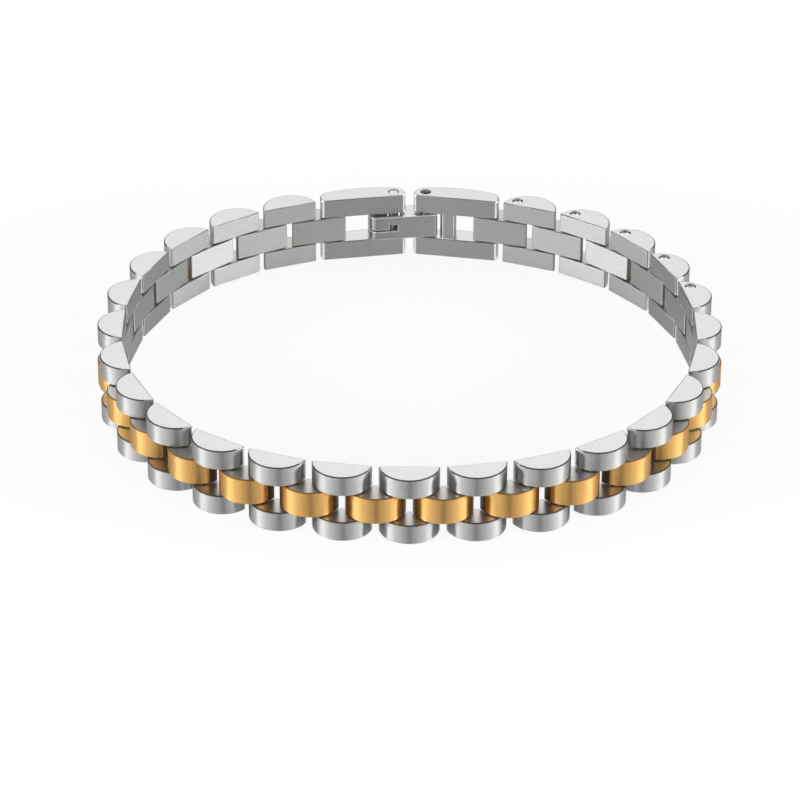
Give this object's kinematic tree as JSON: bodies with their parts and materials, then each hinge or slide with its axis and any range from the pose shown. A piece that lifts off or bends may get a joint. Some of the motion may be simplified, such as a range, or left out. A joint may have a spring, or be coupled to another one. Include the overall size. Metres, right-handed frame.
{
  "type": "link watch bracelet",
  "caption": "Two-tone link bracelet of half-round steel links on hinge pins, gold on the middle row, closed by a fold-over hook that catches a bar.",
  "frame": {"origin": "middle of the ring, on the surface that its lower edge stands on", "axes": "+Z along the ring's axis, upwards; the clasp is at the back, on +Y, and the front link on -Y"},
  "size_m": [0.0606, 0.0584, 0.0069],
  "materials": {
    "polished_steel": "polished round faces, satin flat faces",
    "gold_capped_links": "gold cap on the round face, steel on the flats",
    "satin_steel": "satin, brushed along the band"
  },
  "bodies": {
    "root": {"outer_link_13": "polished_steel"},
    "centre_14": {"centre_link_14": "gold_capped_links"},
    "outer_14": {"outer_link_14": "polished_steel"},
    "centre_15": {"centre_link_15": "gold_capped_links"},
    "outer_15": {"outer_link_15": "polished_steel"},
    "centre_16": {"centre_link_16": "gold_capped_links"},
    "outer_16": {"outer_link_16": "polished_steel"},
    "centre_17": {"centre_link_17": "gold_capped_links"},
    "outer_17": {"outer_link_17": "polished_steel"},
    "centre_18": {"centre_link_18": "gold_capped_links"},
    "outer_18": {"outer_link_18": "polished_steel"},
    "centre_19": {"centre_link_19": "gold_capped_links"},
    "outer_19": {"outer_link_19": "polished_steel"},
    "centre_20": {"centre_link_20": "gold_capped_links"},
    "outer_20": {"outer_link_20": "polished_steel"},
    "centre_21": {"centre_link_21": "gold_capped_links"},
    "outer_21": {"outer_link_21": "polished_steel"},
    "centre_22": {"centre_link_22": "gold_capped_links"},
    "outer_22": {"outer_link_22": "polished_steel"},
    "centre_23": {"centre_link_23": "gold_capped_links"},
    "outer_23": {"outer_link_23": "polished_steel"},
    "centre_24": {"centre_link_24": "gold_capped_links"},
    "outer_24": {"outer_link_24": "polished_steel"},
    "centre_25": {"centre_link_25": "gold_capped_links"},
    "outer_25": {"outer_link_25": "polished_steel"},
    "centre_26": {"centre_link_26": "gold_capped_links"},
    "right_clasp_half": {"right_lower_clasp_rail": "polished_steel", "right_upper_clasp_rail": "polished_steel", "hook_pin": "satin_steel", "stop_block": "satin_steel"},
    "centre_13": {"centre_link_13": "gold_capped_links"},
    "outer_12": {"outer_link_12": "polished_steel"},
    "centre_12": {"centre_link_12": "gold_capped_links"},
    "outer_11": {"outer_link_11": "polished_steel"},
    "centre_11": {"centre_link_11": "gold_capped_links"},
    "outer_10": {"outer_link_10": "polished_steel"},
    "centre_10": {"centre_link_10": "gold_capped_links"},
    "outer_09": {"outer_link_09": "polished_steel"},
    "centre_09": {"centre_link_09": "gold_capped_links"},
    "outer_08": {"outer_link_08": "polished_steel"},
    "centre_08": {"centre_link_08": "gold_capped_links"},
    "outer_07": {"outer_link_07": "polished_steel"},
    "centre_07": {"centre_link_07": "gold_capped_links"},
    "outer_06": {"outer_link_06": "polished_steel"},
    "centre_06": {"centre_link_06": "gold_capped_links"},
    "outer_05": {"outer_link_05": "polished_steel"},
    "centre_05": {"centre_link_05": "gold_capped_links"},
    "outer_04": {"outer_link_04": "polished_steel"},
    "centre_04": {"centre_link_04": "gold_capped_links"},
    "outer_03": {"outer_link_03": "polished_steel"},
    "centre_03": {"centre_link_03": "gold_capped_links"},
    "outer_02": {"outer_link_02": "polished_steel"},
    "centre_02": {"centre_link_02": "gold_capped_links"},
    "outer_01": {"outer_link_01": "polished_steel"},
    "centre_01": {"centre_link_01": "gold_capped_links"},
    "left_clasp_half": {"left_lower_clasp_rail": "polished_steel", "left_upper_clasp_rail": "polished_steel", "catch_bar": "satin_steel"},
    "hook": {"hook": "satin_steel"}
  },
  "joints": [
    {"name": "right_hinge_01", "type": "hinge", "parent": "root", "child": "centre_14", "pos_m": [0.0016, -0.02757, 0.00342], "axis": [0, 0, -1], "range_deg": [0, 4.79]},
    {"name": "right_hinge_02", "type": "hinge", "parent": "centre_14", "child": "outer_14", "pos_m": [0.00479, -0.0273, 0.00342], "axis": [0, 0, -1], "range_deg": [0, 5.06]},
    {"name": "right_hinge_03", "type": "hinge", "parent": "outer_14", "child": "centre_15", "pos_m": [0.00794, -0.02676, 0.00342], "axis": [0, 0, -1], "range_deg": [0, 5.54]},
    {"name": "right_hinge_04", "type": "hinge", "parent": "centre_15", "child": "outer_15", "pos_m": [0.01103, -0.02591, 0.00342], "axis": [0, 0, -1], "range_deg": [0, 6.15]},
    {"name": "right_hinge_05", "type": "hinge", "parent": "outer_15", "child": "centre_16", "pos_m": [0.014, -0.02473, 0.00342], "axis": [0, 0, -1], "range_deg": [0, 6.78]},
    {"name": "right_hinge_06", "type": "hinge", "parent": "centre_16", "child": "outer_16", "pos_m": [0.01682, -0.02321, 0.00342], "axis": [0, 0, -1], "range_deg": [0, 7.3]},
    {"name": "right_hinge_07", "type": "hinge", "parent": "outer_16", "child": "centre_17", "pos_m": [0.01942, -0.02135, 0.00342], "axis": [0, 0, -1], "range_deg": [0, 7.64]},
    {"name": "right_hinge_08", "type": "hinge", "parent": "centre_17", "child": "outer_17", "pos_m": [0.02175, -0.01916, 0.00342], "axis": [0, 0, -1], "range_deg": [0, 7.72]},
    {"name": "right_hinge_09", "type": "hinge", "parent": "outer_17", "child": "centre_18", "pos_m": [0.02377, -0.01667, 0.00342], "axis": [0, 0, -1], "range_deg": [0, 7.56]},
    {"name": "right_hinge_10", "type": "hinge", "parent": "centre_18", "child": "outer_18", "pos_m": [0.02544, -0.01394, 0.00342], "axis": [0, 0, -1], "range_deg": [0, 7.19]},
    {"name": "right_hinge_11", "type": "hinge", "parent": "outer_18", "child": "centre_19", "pos_m": [0.02675, -0.01102, 0.00342], "axis": [0, 0, -1], "range_deg": [0, 6.7]},
    {"name": "right_hinge_12", "type": "hinge", "parent": "centre_19", "child": "outer_19", "pos_m": [0.02771, -0.00797, 0.00342], "axis": [0, 0, -1], "range_deg": [0, 6.2]},
    {"name": "right_hinge_13", "type": "hinge", "parent": "outer_19", "child": "centre_20", "pos_m": [0.02834, -0.00483, 0.00342], "axis": [0, 0, -1], "range_deg": [0, 5.79]},
    {"name": "right_hinge_14", "type": "hinge", "parent": "centre_20", "child": "outer_20", "pos_m": [0.02866, -0.00165, 0.00342], "axis": [0, 0, -1], "range_deg": [0, 5.56]},
    {"name": "right_hinge_15", "type": "hinge", "parent": "outer_20", "child": "centre_21", "pos_m": [0.02866, 0.00155, 0.00342], "axis": [0, 0, -1], "range_deg": [0, 5.56]},
    {"name": "right_hinge_16", "type": "hinge", "parent": "centre_21", "child": "outer_21", "pos_m": [0.02835, 0.00474, 0.00342], "axis": [0, 0, -1], "range_deg": [0, 5.78]},
    {"name": "right_hinge_17", "type": "hinge", "parent": "outer_21", "child": "centre_22", "pos_m": [0.02772, 0.00787, 0.00342], "axis": [0, 0, -1], "range_deg": [0, 6.19]},
    {"name": "right_hinge_18", "type": "hinge", "parent": "centre_22", "child": "outer_22", "pos_m": [0.02675, 0.01092, 0.00342], "axis": [0, 0, -1], "range_deg": [0, 6.7]},
    {"name": "right_hinge_19", "type": "hinge", "parent": "outer_22", "child": "centre_23", "pos_m": [0.02544, 0.01384, 0.00342], "axis": [0, 0, -1], "range_deg": [0, 7.19]},
    {"name": "right_hinge_20", "type": "hinge", "parent": "centre_23", "child": "outer_23", "pos_m": [0.02377, 0.01657, 0.00342], "axis": [0, 0, -1], "range_deg": [0, 7.56]},
    {"name": "right_hinge_21", "type": "hinge", "parent": "outer_23", "child": "centre_24", "pos_m": [0.02176, 0.01906, 0.00342], "axis": [0, 0, -1], "range_deg": [0, 7.72]},
    {"name": "right_hinge_22", "type": "hinge", "parent": "centre_24", "child": "outer_24", "pos_m": [0.01943, 0.02126, 0.00342], "axis": [0, 0, -1], "range_deg": [0, 7.64]},
    {"name": "right_hinge_23", "type": "hinge", "parent": "outer_24", "child": "centre_25", "pos_m": [0.01683, 0.02312, 0.00342], "axis": [0, 0, -1], "range_deg": [0, 7.31]},
    {"name": "right_hinge_24", "type": "hinge", "parent": "centre_25", "child": "outer_25", "pos_m": [0.01402, 0.02464, 0.00342], "axis": [0, 0, -1], "range_deg": [0, 6.79]},
    {"name": "right_hinge_25", "type": "hinge", "parent": "outer_25", "child": "centre_26", "pos_m": [0.01104, 0.02582, 0.00342], "axis": [0, 0, -1], "range_deg": [0, 6.16]},
    {"name": "right_hinge_26", "type": "hinge", "parent": "centre_26", "child": "right_clasp_half", "pos_m": [0.00796, 0.02667, 0.00342], "axis": [0, 0, -1], "range_deg": [0, 5.55]},
    {"name": "left_hinge_01", "type": "hinge", "parent": "root", "child": "centre_13", "pos_m": [-0.0016, -0.02757, 0.00342], "axis": [0, 0, 1], "range_deg": [0, 4.79]},
    {"name": "left_hinge_02", "type": "hinge", "parent": "centre_13", "child": "outer_12", "pos_m": [-0.00479, -0.0273, 0.00342], "axis": [0, 0, 1], "range_deg": [0, 5.06]},
    {"name": "left_hinge_03", "type": "hinge", "parent": "outer_12", "child": "centre_12", "pos_m": [-0.00794, -0.02676, 0.00342], "axis": [0, 0, 1], "range_deg": [0, 5.54]},
    {"name": "left_hinge_04", "type": "hinge", "parent": "centre_12", "child": "outer_11", "pos_m": [-0.01103, -0.02591, 0.00342], "axis": [0, 0, 1], "range_deg": [0, 6.15]},
    {"name": "left_hinge_05", "type": "hinge", "parent": "outer_11", "child": "centre_11", "pos_m": [-0.014, -0.02473, 0.00342], "axis": [0, 0, 1], "range_deg": [0, 6.78]},
    {"name": "left_hinge_06", "type": "hinge", "parent": "centre_11", "child": "outer_10", "pos_m": [-0.01682, -0.02321, 0.00342], "axis": [0, 0, 1], "range_deg": [0, 7.3]},
    {"name": "left_hinge_07", "type": "hinge", "parent": "outer_10", "child": "centre_10", "pos_m": [-0.01942, -0.02135, 0.00342], "axis": [0, 0, 1], "range_deg": [0, 7.64]},
    {"name": "left_hinge_08", "type": "hinge", "parent": "centre_10", "child": "outer_09", "pos_m": [-0.02175, -0.01916, 0.00342], "axis": [0, 0, 1], "range_deg": [0, 7.72]},
    {"name": "left_hinge_09", "type": "hinge", "parent": "outer_09", "child": "centre_09", "pos_m": [-0.02377, -0.01667, 0.00342], "axis": [0, 0, 1], "range_deg": [0, 7.56]},
    {"name": "left_hinge_10", "type": "hinge", "parent": "centre_09", "child": "outer_08", "pos_m": [-0.02544, -0.01394, 0.00342], "axis": [0, 0, 1], "range_deg": [0, 7.19]},
    {"name": "left_hinge_11", "type": "hinge", "parent": "outer_08", "child": "centre_08", "pos_m": [-0.02675, -0.01102, 0.00342], "axis": [0, 0, 1], "range_deg": [0, 6.7]},
    {"name": "left_hinge_12", "type": "hinge", "parent": "centre_08", "child": "outer_07", "pos_m": [-0.02771, -0.00797, 0.00342], "axis": [0, 0, 1], "range_deg": [0, 6.2]},
    {"name": "left_hinge_13", "type": "hinge", "parent": "outer_07", "child": "centre_07", "pos_m": [-0.02834, -0.00483, 0.00342], "axis": [0, 0, 1], "range_deg": [0, 5.79]},
    {"name": "left_hinge_14", "type": "hinge", "parent": "centre_07", "child": "outer_06", "pos_m": [-0.02866, -0.00165, 0.00342], "axis": [0, 0, 1], "range_deg": [0, 5.56]},
    {"name": "left_hinge_15", "type": "hinge", "parent": "outer_06", "child": "centre_06", "pos_m": [-0.02866, 0.00155, 0.00342], "axis": [0, 0, 1], "range_deg": [0, 5.56]},
    {"name": "left_hinge_16", "type": "hinge", "parent": "centre_06", "child": "outer_05", "pos_m": [-0.02835, 0.00474, 0.00342], "axis": [0, 0, 1], "range_deg": [0, 5.78]},
    {"name": "left_hinge_17", "type": "hinge", "parent": "outer_05", "child": "centre_05", "pos_m": [-0.02772, 0.00787, 0.00342], "axis": [0, 0, 1], "range_deg": [0, 6.19]},
    {"name": "left_hinge_18", "type": "hinge", "parent": "centre_05", "child": "outer_04", "pos_m": [-0.02675, 0.01092, 0.00342], "axis": [0, 0, 1], "range_deg": [0, 6.7]},
    {"name": "left_hinge_19", "type": "hinge", "parent": "outer_04", "child": "centre_04", "pos_m": [-0.02544, 0.01384, 0.00342], "axis": [0, 0, 1], "range_deg": [0, 7.19]},
    {"name": "left_hinge_20", "type": "hinge", "parent": "centre_04", "child": "outer_03", "pos_m": [-0.02377, 0.01657, 0.00342], "axis": [0, 0, 1], "range_deg": [0, 7.56]},
    {"name": "left_hinge_21", "type": "hinge", "parent": "outer_03", "child": "centre_03", "pos_m": [-0.02176, 0.01906, 0.00342], "axis": [0, 0, 1], "range_deg": [0, 7.72]},
    {"name": "left_hinge_22", "type": "hinge", "parent": "centre_03", "child": "outer_02", "pos_m": [-0.01943, 0.02126, 0.00342], "axis": [0, 0, 1], "range_deg": [0, 7.64]},
    {"name": "left_hinge_23", "type": "hinge", "parent": "outer_02", "child": "centre_02", "pos_m": [-0.01683, 0.02312, 0.00342], "axis": [0, 0, 1], "range_deg": [0, 7.31]},
    {"name": "left_hinge_24", "type": "hinge", "parent": "centre_02", "child": "outer_01", "pos_m": [-0.01402, 0.02464, 0.00342], "axis": [0, 0, 1], "range_deg": [0, 6.79]},
    {"name": "left_hinge_25", "type": "hinge", "parent": "outer_01", "child": "centre_01", "pos_m": [-0.01104, 0.02582, 0.00342], "axis": [0, 0, 1], "range_deg": [0, 6.16]},
    {"name": "left_hinge_26", "type": "hinge", "parent": "centre_01", "child": "left_clasp_half", "pos_m": [-0.00796, 0.02667, 0.00342], "axis": [0, 0, 1], "range_deg": [0, 5.55]},
    {"name": "hook_hinge", "type": "hinge", "parent": "right_clasp_half", "child": "hook", "pos_m": [0.00165, 0.02777, 0.00342], "axis": [0, 0, 1], "range_deg": [0, 100]}
  ],
  "couplings": [
    {"joint": "right_hinge_02", "follows": "right_hinge_01", "ratio": 1.0558},
    {"joint": "right_hinge_03", "follows": "right_hinge_01", "ratio": 1.1568},
    {"joint": "right_hinge_04", "follows": "right_hinge_01", "ratio": 1.2844},
    {"joint": "right_hinge_05", "follows": "right_hinge_01", "ratio": 1.4149},
    {"joint": "right_hinge_06", "follows": "right_hinge_01", "ratio": 1.5245},
    {"joint": "right_hinge_07", "follows": "right_hinge_01", "ratio": 1.594},
    {"joint": "right_hinge_08", "follows": "right_hinge_01", "ratio": 1.6122},
    {"joint": "right_hinge_09", "follows": "right_hinge_01", "ratio": 1.5782},
    {"joint": "right_hinge_10", "follows": "right_hinge_01", "ratio": 1.5013},
    {"joint": "right_hinge_11", "follows": "right_hinge_01", "ratio": 1.3991},
    {"joint": "right_hinge_12", "follows": "right_hinge_01", "ratio": 1.294},
    {"joint": "right_hinge_13", "follows": "right_hinge_01", "ratio": 1.2083},
    {"joint": "right_hinge_14", "follows": "right_hinge_01", "ratio": 1.1602},
    {"joint": "right_hinge_15", "follows": "right_hinge_01", "ratio": 1.1598},
    {"joint": "right_hinge_16", "follows": "right_hinge_01", "ratio": 1.2072},
    {"joint": "right_hinge_17", "follows": "right_hinge_01", "ratio": 1.2924},
    {"joint": "right_hinge_18", "follows": "right_hinge_01", "ratio": 1.3975},
    {"joint": "right_hinge_19", "follows": "right_hinge_01", "ratio": 1.4999},
    {"joint": "right_hinge_20", "follows": "right_hinge_01", "ratio": 1.5773},
    {"joint": "right_hinge_21", "follows": "right_hinge_01", "ratio": 1.6121},
    {"joint": "right_hinge_22", "follows": "right_hinge_01", "ratio": 1.5947},
    {"joint": "right_hinge_23", "follows": "right_hinge_01", "ratio": 1.5259},
    {"joint": "right_hinge_24", "follows": "right_hinge_01", "ratio": 1.4168},
    {"joint": "right_hinge_25", "follows": "right_hinge_01", "ratio": 1.2865},
    {"joint": "right_hinge_26", "follows": "right_hinge_01", "ratio": 1.1587},
    {"joint": "left_hinge_02", "follows": "left_hinge_01", "ratio": 1.0558},
    {"joint": "left_hinge_03", "follows": "left_hinge_01", "ratio": 1.1568},
    {"joint": "left_hinge_04", "follows": "left_hinge_01", "ratio": 1.2844},
    {"joint": "left_hinge_05", "follows": "left_hinge_01", "ratio": 1.4149},
    {"joint": "left_hinge_06", "follows": "left_hinge_01", "ratio": 1.5245},
    {"joint": "left_hinge_07", "follows": "left_hinge_01", "ratio": 1.594},
    {"joint": "left_hinge_08", "follows": "left_hinge_01", "ratio": 1.6122},
    {"joint": "left_hinge_09", "follows": "left_hinge_01", "ratio": 1.5782},
    {"joint": "left_hinge_10", "follows": "left_hinge_01", "ratio": 1.5013},
    {"joint": "left_hinge_11", "follows": "left_hinge_01", "ratio": 1.3991},
    {"joint": "left_hinge_12", "follows": "left_hinge_01", "ratio": 1.294},
    {"joint": "left_hinge_13", "follows": "left_hinge_01", "ratio": 1.2083},
    {"joint": "left_hinge_14", "follows": "left_hinge_01", "ratio": 1.1602},
    {"joint": "left_hinge_15", "follows": "left_hinge_01", "ratio": 1.1598},
    {"joint": "left_hinge_16", "follows": "left_hinge_01", "ratio": 1.2072},
    {"joint": "left_hinge_17", "follows": "left_hinge_01", "ratio": 1.2924},
    {"joint": "left_hinge_18", "follows": "left_hinge_01", "ratio": 1.3975},
    {"joint": "left_hinge_19", "follows": "left_hinge_01", "ratio": 1.4999},
    {"joint": "left_hinge_20", "follows": "left_hinge_01", "ratio": 1.5773},
    {"joint": "left_hinge_21", "follows": "left_hinge_01", "ratio": 1.6121},
    {"joint": "left_hinge_22", "follows": "left_hinge_01", "ratio": 1.5947},
    {"joint": "left_hinge_23", "follows": "left_hinge_01", "ratio": 1.5259},
    {"joint": "left_hinge_24", "follows": "left_hinge_01", "ratio": 1.4168},
    {"joint": "left_hinge_25", "follows": "left_hinge_01", "ratio": 1.2865},
    {"joint": "left_hinge_26", "follows": "left_hinge_01", "ratio": 1.1587}
  ]
}
